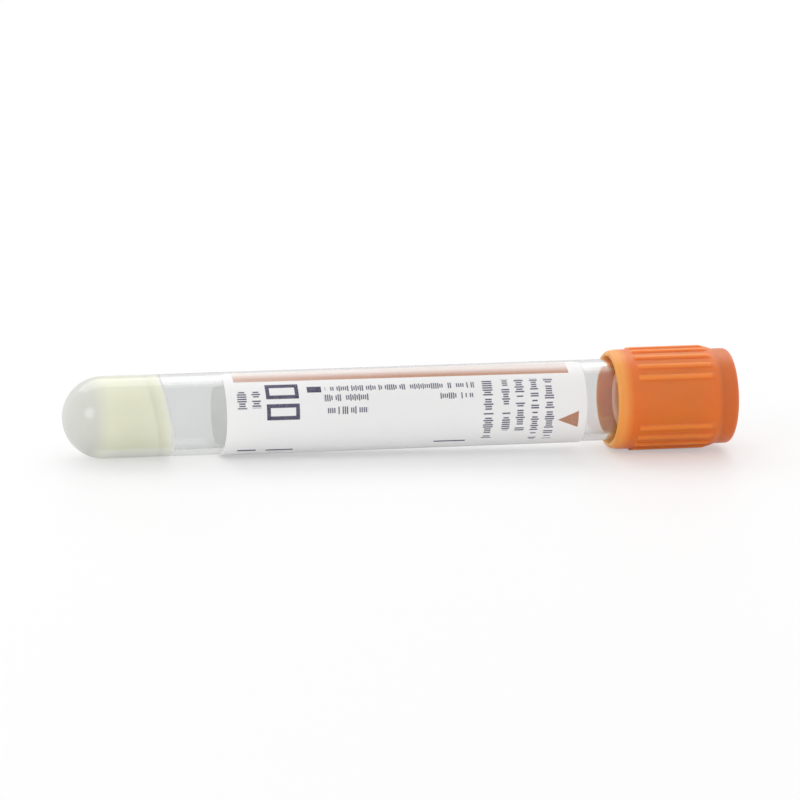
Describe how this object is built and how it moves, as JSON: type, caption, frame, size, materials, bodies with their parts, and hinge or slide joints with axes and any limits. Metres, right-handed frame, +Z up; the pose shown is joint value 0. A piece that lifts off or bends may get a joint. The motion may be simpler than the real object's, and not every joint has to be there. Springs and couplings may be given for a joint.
{
  "type": "blood collection tube",
  "caption": "Clear round-bottomed sample tube with separator gel, a paper label and a ribbed orange push-on closure over a rubber stopper, lying on its side.",
  "frame": {"origin": "on the surface that the part lies on, below the middle of its bounding box", "axes": "+X along the part from the round bottom to the closure, +Z up; the tube's own axis rises 1.16 degrees towards the closure, because the closure is wider than the tube"},
  "size_m": [0.1086, 0.016, 0.0167],
  "materials": {
    "clear_wall": "polished",
    "gel": "satin",
    "paper": "matte",
    "stopper_rubber": "matte",
    "orange_shell": "satin"
  },
  "bodies": {
    "tube_body": {"tube": "clear_wall", "separator_gel": "gel", "label": "paper"},
    "stopper_body": {"rubber_stopper": "stopper_rubber"},
    "shield_body": {"closure_shield": "orange_shell"}
  },
  "joints": [
    {"name": "closure_pull", "type": "slide", "parent": "tube_body", "child": "stopper_body", "axis": [0.9998, 0, 0.0202], "range_m": [0, 0.03]},
    {"name": "closure_twist", "type": "hinge", "parent": "stopper_body", "child": "shield_body", "pos_m": [0.0457, 0, 0.00839], "axis": [0.9998, 0, 0.0202], "continuous": true}
  ]
}
